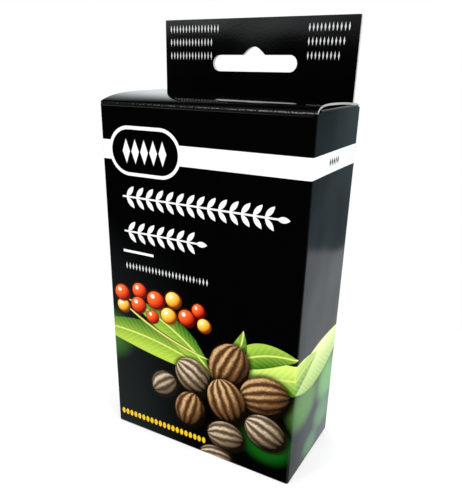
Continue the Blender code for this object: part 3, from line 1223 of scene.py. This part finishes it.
        sheet.shift(place)
        top = self.tab_top - 0.01
        sheet.pick(Part.VERT, lambda p: p.z > top and (abs(p.x - left) < 0.01 or abs(p.x - right) < 0.01))
        sheet.bevel(self.tab_corner, 5, points=True)

    def _slot_of(self, middle: Vector, normal: Vector) -> int:
        """Prints the outside and the folds' ends, and leaves the rest bare.

        Args:
            middle: the face's middle.
            normal: the face's normal.

        Returns:
            The slot: 0 for print, 1 for bare board, 2 for a cut edge.
        """
        w, d = self.half_width, self.half_depth
        deep = min(w - abs(middle.x), middle.y + d, d - middle.y)
        if middle.z > self.tab_low and middle.y > d - 1:
            return 0 if normal.y > 0.9 else (1 if normal.y < -0.9 else 2)
        if middle.z < self.fold:
            return 0 if normal.z < 0.3 else 1
        inwards = normal.x * middle.x + normal.y * middle.y * (w / d) < 0 and abs(normal.z) < 0.7
        return 1 if inwards and deep > self.board * 0.6 else 0

    def _print_place(self, point: Vector, middle: Vector, normal: Vector) -> tuple[float, float]:
        """Unrolls the walls from the front's left fold.

        Args:
            point: a point on the carton.
            middle: its face's middle.
            normal: its face's normal.

        Returns:
            The distance round the carton, and the height.
        """
        w, d = self.half_width, self.half_depth
        x, y, z = point
        left_fold = middle.x < 0 and abs(normal.x) > abs(normal.y)
        on_back = middle.y > max(0.0, d - self.fold) and not left_fold
        if on_back or (middle.x > 0 and middle.y > 0):
            return 2 * w + (y + d) + (w - x), z
        if middle.x > 0:
            return x + w + y + d, z
        return x + w - (y + d), z


@dataclass
class BackPly:
    """The inner ply of the double back, with the front ply of the hang tab."""

    face: float = 18.2
    board: float = 0.6
    half_width: float = 36.4
    low: float = 0.9
    tab_low: float = 124.8
    tab_top: float = 150.45
    tab_sides: tuple[float, float] = (-36.8, 35.3)
    tab_corner: float = 0.4
    print_from: float = 117.0

    def build(self, finishes: Finishes, slot: HangSlot) -> None:
        """Models the ply, cuts the slot and dresses it.

        Args:
            finishes: the carton's materials.
            slot: the hang slot.
        """
        w = self.half_width
        low, high = (-w, self.face, self.low), (w, self.face + self.board, self.tab_top)
        ply = Blank.block("back_ply", low, high)
        ply.slice(2, [30, 60, 90, self.print_from, self.tab_low, 125.0, 130, 144, 147])
        ply.slice(0, [-30, -20, 20, 30])
        left, right = self.tab_sides

        def place(point: Vector) -> Sequence[float]:
            """Brings the tab's two sides to their own widths.

            Args:
                point: the point's old place.

            Returns:
                Its new place.
            """
            if point.z < self.tab_low + 0.1 or abs(point.x) < w - 0.01:
                return point
            return (left if point.x < 0 else right), point.y, point.z

        ply.shift(place)
        top = self.tab_top - 0.01
        ply.pick(Part.EDGE, lambda a, b: min(a.z, b.z) > top and abs(a.x - b.x) < 0.01 and (
            abs(a.x - left) < 0.01 or abs(a.x - right) < 0.01))
        ply.bevel(self.tab_corner, 5)
        ply.pick(Part.EDGE, self._on_cut_outline).bevel(0.05, 1)
        materials = finishes.board(finishes.tab)
        ply.close().dress(materials)
        cutter = slot.build(materials)
        ply.paint(self._slot_of)
        ply.apply("BOOLEAN", object=cutter, operation="DIFFERENCE", solver="EXACT")
        bpy.data.objects.remove(cutter, do_unlink=True)
        ply.unroll(lambda point, middle, normal: (point.x - left, point.z))
        ply.finish("carton", "board_printed", ("back_inner_panel",))

    def _on_cut_outline(self, a: Vector, b: Vector) -> bool:
        """Finds the edges of the tab's front outline.

        Args:
            a: one end of the edge.
            b: its other end.

        Returns:
            Whether the edge runs along the outline.
        """
        if max(a.y, b.y) > self.face + 0.01 or min(a.z, b.z) < self.tab_low + 0.1:
            return False
        left, right = self.tab_sides
        outside = [p.x < left + 0.01 or p.x > right - 0.01 or p.z > self.tab_top - 0.01 for p in (a, b)]
        reach = self.tab_corner + 0.01
        beside = max(a.x, b.x) < left + reach or min(a.x, b.x) > right - reach
        return all(outside) or (min(a.z, b.z) > self.tab_top - reach and beside)

    def _slot_of(self, middle: Vector, normal: Vector) -> int:
        """Prints the tab's front and a little below it, and leaves the rest bare.

        Args:
            middle: the face's middle.
            normal: the face's normal.

        Returns:
            The slot: 0 for print, 1 for bare board, 2 for a cut edge.
        """
        if abs(normal.y) < 0.3:
            return 2
        return 0 if normal.y < 0 and middle.z > self.print_from else 1


@dataclass
class Lid:
    """The lid: bowed up from the front fold, with bare cut edges and half of the tuck's fold."""

    half_width: float = 37.42
    back: float = 16.9
    board: float = 0.6
    level: float = 124.5
    fold: tuple[float, float, float] = (-18.2, 123.2, 1.3)
    axis_y: float = -19.1192
    back_fold: float = 0.9
    columns: int = 26
    rows: int = 48

    def bow(self, across: float, along: float) -> float:
        """How far the lid bows up above its flat level.

        Args:
            across: place from the left edge to the right one, 0 to 1.
            along: place from the front crease to the back one, 0 to 1.

        Returns:
            The rise in millimetres.
        """
        left = 2.62 * (1 - (1 - along) ** 5) + 0.06 * along ** 3
        right = 1.85 * (1 - (1 - along) ** 16) - 1.43 * along ** 2.6
        return left + (right - left) * across

    def height(self, x: float, y: float) -> float:
        """How high the lid's upper face lies.

        Args:
            x: place from left to right.
            y: place from front to back.

        Returns:
            The height above the floor.
        """
        fold_y, _, radius = self.fold
        across = (x + self.half_width) / (2 * self.half_width)
        along = max(0.0, (y - self.axis_y) / (self.back - self.axis_y))
        drop = radius - math.sqrt(radius ** 2 - max(0.0, fold_y - y) ** 2)
        return self.level + self.bow(across, along) - drop

    def build(self, finishes: Finishes) -> None:
        """Models the lid and dresses it.

        Args:
            finishes: the carton's materials.
        """
        lid = Blank.sheet("lid", self.columns, self.rows)

        def place(point: Vector) -> Sequence[float]:
            """Spreads the sheet over the carton's top.

            Args:
                point: the point's old place.

            Returns:
                Its new place.
            """
            x = point.x * self.half_width
            y = self.axis_y + (self.back - self.axis_y) * ((point.y + 1) / 2) ** 1.8
            return x, y, self.height(x, y)

        lid.shift(place)
        edge = self.back - 0.001
        slope = self.height(self.half_width, self.back) - self.height(-self.half_width, self.back)
        tilt = math.atan(slope / (2 * self.half_width))
        axis = (-math.cos(tilt), 0, -math.sin(tilt))
        centre = (0, self.back, self.height(0, self.back) - self.back_fold)
        lid.pick(Part.EDGE, lambda a, b: min(a.y, b.y) > edge).spin(45, 4, centre, axis)
        # Its cut edges take the dimmer board finish, which is painted shade.
        lid.close().dress([finishes.plain, finishes.inside, finishes.lid_rim_painted_shade]).thicken(self.board)
        lid.unroll(lambda point, middle, normal: (point.x, point.y))
        lid.finish("lid", "board_printed", ("lid_panel",))


@dataclass
class TuckFlap:
    """The flap behind the lid's back fold, with round lower corners."""

    hinge: Triple = (0, 16.9, 125.45)
    tilt: float = 1.73
    lean: float = 12.0
    half_width: float = 35.0
    drop: float = 13.6
    corner: float = 8.0
    fold: float = 0.9
    fold_centre: float = -0.3
    board: float = 0.6

    def build(self, finishes: Finishes) -> None:
        """Models the flap and dresses it.

        Args:
            finishes: the carton's materials.
        """
        flap = Blank.sheet("tuck", 1, 1)
        start = math.radians(90 + self.lean)
        top = (self.fold * math.sin(start), self.fold_centre + self.fold * math.cos(start))
        lean = math.radians(self.lean)

        def place(point: Vector) -> Sequence[float]:
            """Stands the sheet up below the fold, with its printed face outwards.

            Args:
                point: the point's old place.

            Returns:
                Its new place.
            """
            down = self.drop * (1 - point.y) / 2
            x = -point.x * self.half_width
            return x, top[0] - down * math.sin(lean), top[1] - down * math.cos(lean)

        flap.shift(place)
        low = top[1] - self.drop / 2
        flap.pick(Part.VERT, lambda p: p.z < low).bevel(self.corner, 9, points=True)
        flap.pick(Part.EDGE, lambda a, b: min(a.z, b.z) > top[1] - 0.01)
        flap.spin(45 + self.lean, 5, (0, 0, self.fold_centre), (1, 0, 0))
        settle = Matrix.Translation(self.hinge) @ Matrix.Rotation(math.radians(self.tilt), 4, "Y")
        flap.shift(lambda point: settle @ point)
        flap.close().dress(finishes.board(finishes.plain)).thicken(self.board)
        flap.unroll(lambda point, middle, normal: (point.x, point.z))
        flap.finish("tuck", "board_flap", ("tuck_flap",))


@dataclass
class DustFlap:
    """A flap under the lid, folded in from a side wall's top."""

    side: int
    near: float = 36.6
    far: float = 6.6
    front: float = -14.8
    back: float = 13.1
    taper: float = 1.7
    corner: float = 3.0
    level: float = 124.5
    fold: float = 0.9
    board: float = 0.6

    def build(self, finishes: Finishes) -> None:
        """Models the flap and dresses it.

        Args:
            finishes: the carton's materials.
        """
        name = "left" if self.side < 0 else "right"
        flap = Blank.sheet(f"dust_flap_{name}", 1, 1)

        def place(point: Vector) -> Sequence[float]:
            """Spreads the sheet level below the lid, narrower at its free end.

            Args:
                point: the point's old place.

            Returns:
                Its new place.
            """
            free = point.x * self.side < 0
            x = self.side * (self.far if free else self.near)
            inset = self.taper if free else 0.0
            return x, (self.back - inset if point.y > 0 else self.front + inset), self.level

        flap.shift(place)
        middle = (self.near + self.far) / 2
        flap.pick(Part.VERT, lambda p: abs(p.x) < middle).bevel(self.corner, 7, points=True)
        flap.pick(Part.EDGE, lambda a, b: min(abs(a.x), abs(b.x)) > self.near - 0.01)
        flap.spin(45, 4, (self.side * self.near, 0, self.level - self.fold), (0, self.side, 0))
        flap.close().dress(finishes.board(finishes.plain)).thicken(self.board)
        flap.unroll(lambda point, middle, normal: (point.x, point.y))
        flap.finish(f"dust_{name}", "board_flap", (f"top_dust_{name}",))


@dataclass
class BottomFlap:
    """One flap of the glued bottom."""

    name: str
    node: str
    low: Triple
    high: Triple
    slot: str = "board_flap"
    corners: float = 1.5
    printed: bool = False

    def build(self, finishes: Finishes) -> None:
        """Models the flap and dresses it.

        Args:
            finishes: the carton's materials.
        """
        flap = Blank.block(self.name, self.low, self.high)
        flap.pick(Part.EDGE, lambda a, b: abs(a.z - b.z) > 0.3).bevel(self.corners, 5)
        flap.pick(Part.EDGE, lambda a, b: abs(a.z - b.z) < 0.01).bevel(0.05, 1)
        flap.close().dress(finishes.board(finishes.plain))
        under = 0 if self.printed else 1
        flap.paint(lambda middle, normal: 2 if abs(normal.z) < 0.3 else (under if normal.z < 0 else 1))
        flap.unroll(lambda point, middle, normal: (point.x, point.y))
        flap.finish("carton", self.slot, (self.node,))


BOTTOM = (
    BottomFlap(
        "bottom_outer", "bottom_outer_flap", (-36.5, -18.6, 0), (36.5, 18.6, 0.6),
        "board_printed", 0.4, True),
    BottomFlap("bottom_inner", "bottom_inner_flap", (-36.6, -18.6, 0.7), (36.6, 17.9, 1.3)),
    BottomFlap("bottom_left", "bottom_dust_left", (-36.6, -18.3, 1.4), (-6.6, 17.6, 2.0), corners=4.0),
    BottomFlap("bottom_right", "bottom_dust_right", (6.6, -18.3, 1.4), (36.6, 17.6, 2.0), corners=4.0),
)


@dataclass
class ConeHeap:
    """The twenty cones, each where its CAD solid rests."""

    count: int = 20
    sides: int = 10
    rings: int = 13
    twist: float = 0.5
    stalk: float = 2.4
    stalk_radius: float = 1.0

    def build(self, finishes: Finishes) -> None:
        """Models one cone, and copies it to every cone of the heap.

        Args:
            finishes: the carton's materials.
        """
        pattern = self._pattern(finishes)
        for number in range(1, self.count + 1):
            node = f"cone_{number:02d}"
            self._copy(pattern, node, number)
        bpy.data.objects.remove(pattern, do_unlink=True)
        log.info("%d cones", self.count)

    def _pattern(self, finishes: Finishes) -> bpy.types.Object:
        """Models a cone 2 high and 2 across, with gaping valves in spiral rows.

        Args:
            finishes: the carton's materials.

        Returns:
            The pattern, which is deleted after use.
        """
        cone = Blank.ball("cone_pattern", self.sides, self.rings)
        turn = math.tau / self.sides * self.twist

        def barrel(point: Vector) -> Sequence[float]:
            """Swells the ball into a barrel and turns each ring a little more.

            Args:
                point: the point's old place.

            Returns:
                Its new place.
            """
            flat = math.hypot(point.x, point.y)
            ring = round(math.acos(max(-1, min(1, point.z))) / math.pi * self.rings)
            angle = math.atan2(point.y, point.x) + turn * ring
            swell = flat ** 0.62 * 0.87
            return swell * math.cos(angle), swell * math.sin(angle), point.z * 0.93

        cone.shift(barrel)
        cone.pick(Part.FACE, lambda middle, normal: abs(middle.z) < 0.88)
        cone.inset(0.035, 0.02).inset(0.02, 0.11).inset(0.028, 0.0).inset(0.02, -0.15)
        cone.pick(Part.FACE, lambda middle, normal: middle.z < -0.9 and normal.z < -0.5)
        cone.extrude((0, 0, -0.28))
        cone.shift(lambda p: (p.x * 0.45, p.y * 0.45, p.z) if p.z < -1.1 else p)
        cone.close().dress([finishes.wood, finishes.gap_shade])
        # Faces sunk between the valves take the near-black finish: painted shade for their recesses.
        for face in cone.piece.data.polygons:
            depth = math.hypot(face.center.x, face.center.y)
            swell = max(0.0, 1 - (face.center.z / 0.93) ** 2) ** 0.31 * 0.87
            face.material_index = int(depth < swell - 0.015 and abs(face.center.z) < 0.88)
        return cone.piece

    def _copy(self, pattern: bpy.types.Object, node: str, number: int) -> None:
        """Places a copy of the pattern where a CAD cone rests.

        Args:
            pattern: the modelled cone.
            node: the CAD node that it stands for.
            number: its number, which turns it about its own axis.
        """
        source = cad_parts[node].data
        points = numpy.array([v.co[:] for v in source.vertices]) / MM
        middle = points.mean(axis=0)
        axis = numpy.linalg.svd(points - middle, full_matrices=False)[2][0]
        along = (points - middle) @ axis
        away = numpy.linalg.norm(points - middle - numpy.outer(along, axis), axis=1)
        stalk = (away > 0.5 * self.stalk_radius) & (away < 1.1 * self.stalk_radius)
        if along[stalk].mean() > 0:
            axis, along = -axis, -along
        top, bottom = along.max(), along.min() + self.stalk
        centre = middle + axis * (top + bottom) / 2
        radius = float(away.max()) * 0.94
        size = Matrix.Diagonal((radius, radius, (top - bottom) / 2, 1))
        stand = Vector(axis).to_track_quat("Z", "Y").to_matrix().to_4x4()
        spin = Matrix.Rotation(number * 2.39996, 4, "Z")
        cone = bpy.data.objects.new(f"woody_{node}", pattern.data.copy())
        bpy.context.scene.collection.objects.link(cone)
        cone.data.transform(Matrix.Translation(centre) @ stand @ spin @ size)
        bpy.ops.object.select_all(action="DESELECT")
        cone.select_set(True)
        bpy.context.view_layer.objects.active = cone
        Blank(cone.name).close().finish("carton", "cone_wood", (node,), 40)


Span = tuple[float, float]


@dataclass(frozen=True)
class TableTones:
    """What the front and right walls mirror of the table. A span runs from nothing to all."""

    side_start: Span = (37.0, 38.5)
    side_reach: Span = (-45.0, -22.0)
    near_slope: float = 0.32
    near_edge: Span = (203.0, 189.0)
    near_tone: Colour = tint(0.86, 0.93, 0.96)
    far_tone: Colour = tint(0.207, 0.286, 0.32)
    sweep_span: Span = (0.36, 0.285)
    sweep_gain: float = 0.85
    sweep_least: float = 0.52
    sweep_depth: float = 0.7
    front_fade: Span = (-270.0, -20.0)
    front_span: Span = (-0.60, -0.86)
    front_strength: float = 0.3
    front_tone: Colour = tint(0.8, 1.0, 1.0)


@dataclass(frozen=True)
class RoomTones:
    """What the lid, the tab and the folds mirror of the room. A span runs from nothing to all."""

    behind_foot: Span = (-0.03, 0.02)
    behind_top: Span = (0.62, 0.12)
    behind_right: Span = (0.4, 0.15)
    before_foot: Span = (0.038, 0.072)
    before_top: Span = (0.22, 0.09)
    before_left: Span = (-0.30, -0.58)
    left_gain: float = 1.1
    left_least: float = 0.4
    strength: float = 0.65
    overhead: Span = (0.15, 0.5)
    overhead_strength: float = 0.10
    first_bounce: Span = (2.6, 2.4)
    front_to_back: Span = (-0.15, 0.15)
    tone: Colour = tint(1.5, 1.6, 1.62)
    diffuse_tone: Colour = tint(0.62, 0.62, 0.63)


@dataclass
class Studio:
    """Pale floor, what the gloss mirrors, soft light and the photograph's camera."""

    eye: Triple = (90.9, -164.9, 135.8)
    azimuth: float = -30.36
    elevation: float = 22.72
    roll: float = 0.63
    focal_px: float = 550.5
    middle_px: tuple[float, float] = (211.3, 295.2)
    size_px: tuple[int, int] = (462, 500)
    wall: tuple[float, float] = (37.5, -19.5)
    floor_half: float = 1500.0
    floor_level: float = -0.05
    floor_fade: Span = (60.0, 170.0)
    floor_glow: float = 0.45
    table_half: float = 6000.0
    table_level: float = -0.6
    table_tones: TableTones = TableTones()
    room_tones: RoomTones = RoomTones()

    def build(self) -> None:
        """Makes the floor, the mirrored table, the lights and the camera."""
        self._floor()
        self._table()
        self._light("key", (-260, -420, 420), 260, 1.9)
        self._light("fill", (420, -160, 300), 240, 1.7)
        self._light("top", (0, 60, 520), 320, 1.4)
        self._world()
        self._camera()

    def _floor(self) -> None:
        """A pale floor that fades to white away from the carton."""
        half, level = self.floor_half, self.floor_level
        floor = Blank.sheet("floor", 1, 1).shift(lambda p: (p.x * half, p.y * half, level)).close().piece
        floor.data.transform(Matrix.Scale(MM, 4))
        material = bpy.data.materials.new("floor_paper")
        graph = Graph(material)
        x, y, _ = graph.split(graph.place())
        reach = graph.math("SQRT", x * x + y * y)
        paper = graph.node("ShaderNodeBsdfDiffuse", {}, {"Color": tint(0.93, 0.93, 0.93)})
        glow = graph.node("ShaderNodeEmission", {}, {"Color": tint(1.0, 1.0, 1.0)})
        fade = {0: graph.ramp(reach, *self.floor_fade), 1: graph.take(paper), 2: graph.take(glow)}
        blend = graph.node("ShaderNodeMixShader", {}, fade)
        soft = {0: self.floor_glow, 1: graph.take(blend), 2: graph.take(glow)}
        pale = graph.node("ShaderNodeMixShader", {}, soft)
        graph.node("ShaderNodeOutputMaterial", {}, {"Surface": graph.take(pale)})
        floor.data.materials.append(material)
        floor.visible_glossy = False

    def _table(self) -> None:
        """What the glossy walls mirror of the table: seen in reflections alone."""
        half, level, tones = self.table_half, self.table_level, self.table_tones
        table = Blank.sheet("table", 1, 1).shift(lambda p: (p.x * half, p.y * half, level)).close().piece
        table.data.transform(Matrix.Scale(MM, 4))
        material = bpy.data.materials.new("table_sheen")
        graph = Graph(material)
        x, y, _ = graph.split(graph.place())
        right = graph.ramp(x, *tones.side_start) * graph.ramp(y, *tones.side_reach)
        near = graph.ramp(x + y * tones.near_slope, *tones.near_edge)
        eye_x, eye_y, _ = self.eye
        side_eye, front_eye = 2 * self.wall[0] - eye_x, 2 * self.wall[1] - eye_y
        sweep = graph.ramp((x - side_eye) / (y - eye_y), *tones.sweep_span, smooth=False)
        sweep = sweep * tones.sweep_gain + tones.sweep_least
        side = graph.mix(near, tones.far_tone, tones.near_tone)
        side = graph.mix(1 - sweep * tones.sweep_depth, side, tint(0, 0, 0))
        aside = (x - eye_x) / (front_eye - y)
        glow = graph.ramp(y, *tones.front_fade) * graph.ramp(aside, *tones.front_span)
        front = graph.mix(glow * tones.front_strength, tint(0, 0, 0), tones.front_tone)
        shade = graph.node("ShaderNodeEmission", {}, {"Color": graph.mix(right, front, side)})
        graph.node("ShaderNodeOutputMaterial", {}, {"Surface": graph.take(shade)})
        table.data.materials.append(material)
        table.visible_camera = table.visible_diffuse = table.visible_shadow = False
        table.visible_transmission = table.visible_volume_scatter = False

    def _light(self, name: str, place: Triple, size: float, power: float) -> None:
        """Adds a soft square light that faces the carton.

        Args:
            name: the light's name.
            place: where it stands, in millimetres.
            size: its side, in millimetres.
            power: its power in watts.
        """
        data = bpy.data.lights.new(name, "AREA")
        data.size = size * MM
        data.energy = power
        light = bpy.data.objects.new(name, data)
        light.visible_glossy = False
        light.location = Vector(place) * MM
        aim = Vector((0, 0, 60)) * MM - light.location
        light.rotation_euler = aim.to_track_quat("-Z", "Y").to_euler()
        bpy.context.scene.collection.objects.link(light)

    def _world(self) -> None:
        """White all round, and dark below the horizon where the glossy board mirrors it."""
        world = bpy.data.worlds.new("studio")
        bpy.context.scene.world = world
        graph = Graph(world)
        tones = self.room_tones
        paths = graph.node("ShaderNodeLightPath")
        x, y, height = graph.split(graph.take(graph.node("ShaderNodeTexCoord"), "Generated"))
        behind = graph.ramp(height, *tones.behind_foot) * graph.ramp(height, *tones.behind_top)
        behind = behind * graph.ramp(x, *tones.behind_right)
        left = graph.ramp(x, *tones.before_left, smooth=False) * tones.left_gain + tones.left_least
        before = graph.ramp(height, *tones.before_foot) * graph.ramp(height, *tones.before_top) * left
        overhead = graph.ramp(height, *tones.overhead) * tones.overhead_strength
        before = before * tones.strength + overhead
        once = graph.ramp(graph.take(paths, "Ray Depth"), *tones.first_bounce)
        back_part = graph.ramp(y, *tones.front_to_back)
        card = before * (1 - back_part) + behind * back_part * tones.strength
        mirrored = graph.mix(card * once, tint(0, 0, 0), tones.tone)
        glossy = graph.take(paths, "Is Glossy Ray")
        camera = graph.take(paths, "Is Camera Ray")
        colour = graph.mix(glossy, tones.diffuse_tone, mirrored)
        colour = graph.mix(camera, colour, tint(1.0, 1.0, 1.0))
        shade = graph.node("ShaderNodeBackground", {}, {"Color": colour, "Strength": 1.0})
        graph.node("ShaderNodeOutputWorld", {}, {"Surface": graph.take(shade)})
        bpy.context.scene.view_settings.view_transform = "Standard"

    def _camera(self) -> None:
        """Sets the camera where the photograph was taken from."""
        azimuth, elevation, roll = (math.radians(a) for a in (self.azimuth, self.elevation, self.roll))
        flat = math.cos(elevation)
        ahead = Vector((math.sin(azimuth) * flat, math.cos(azimuth) * flat, -math.sin(elevation)))
        level = Vector((math.cos(azimuth), -math.sin(azimuth), 0))
        upright = level.cross(ahead)
        right = level * math.cos(roll) + upright * math.sin(roll)
        up = upright * math.cos(roll) - level * math.sin(roll)
        data = bpy.data.cameras.new("camera")
        long_side = max(self.size_px)
        data.sensor_width = 36.0
        data.lens = self.focal_px * data.sensor_width / long_side
        data.shift_x = (self.size_px[0] / 2 - self.middle_px[0]) / long_side
        data.shift_y = (self.middle_px[1] - self.size_px[1] / 2) / long_side
        data.clip_start = 0.005
        camera = bpy.data.objects.new("camera", data)
        turn = Matrix((right, up, -ahead)).transposed().to_4x4()
        camera.matrix_world = Matrix.Translation(Vector(self.eye) * MM) @ turn
        bpy.context.scene.collection.objects.link(camera)
        bpy.context.scene.camera = camera


def main() -> None:
    """Builds the carton, its cones and the studio."""
    logging.basicConfig(level=logging.INFO, format="%(message)s")
    finishes = Finishes()
    finishes.build()
    slot = HangSlot()
    Sleeve().build(finishes, slot)
    BackPly().build(finishes, slot)
    Lid().build(finishes)
    TuckFlap().build(finishes)
    DustFlap(-1).build(finishes)
    DustFlap(1).build(finishes)
    for flap in BOTTOM:
        flap.build(finishes)
    ConeHeap().build(finishes)
    Studio().build()


if __name__ == "__main__":
    main()
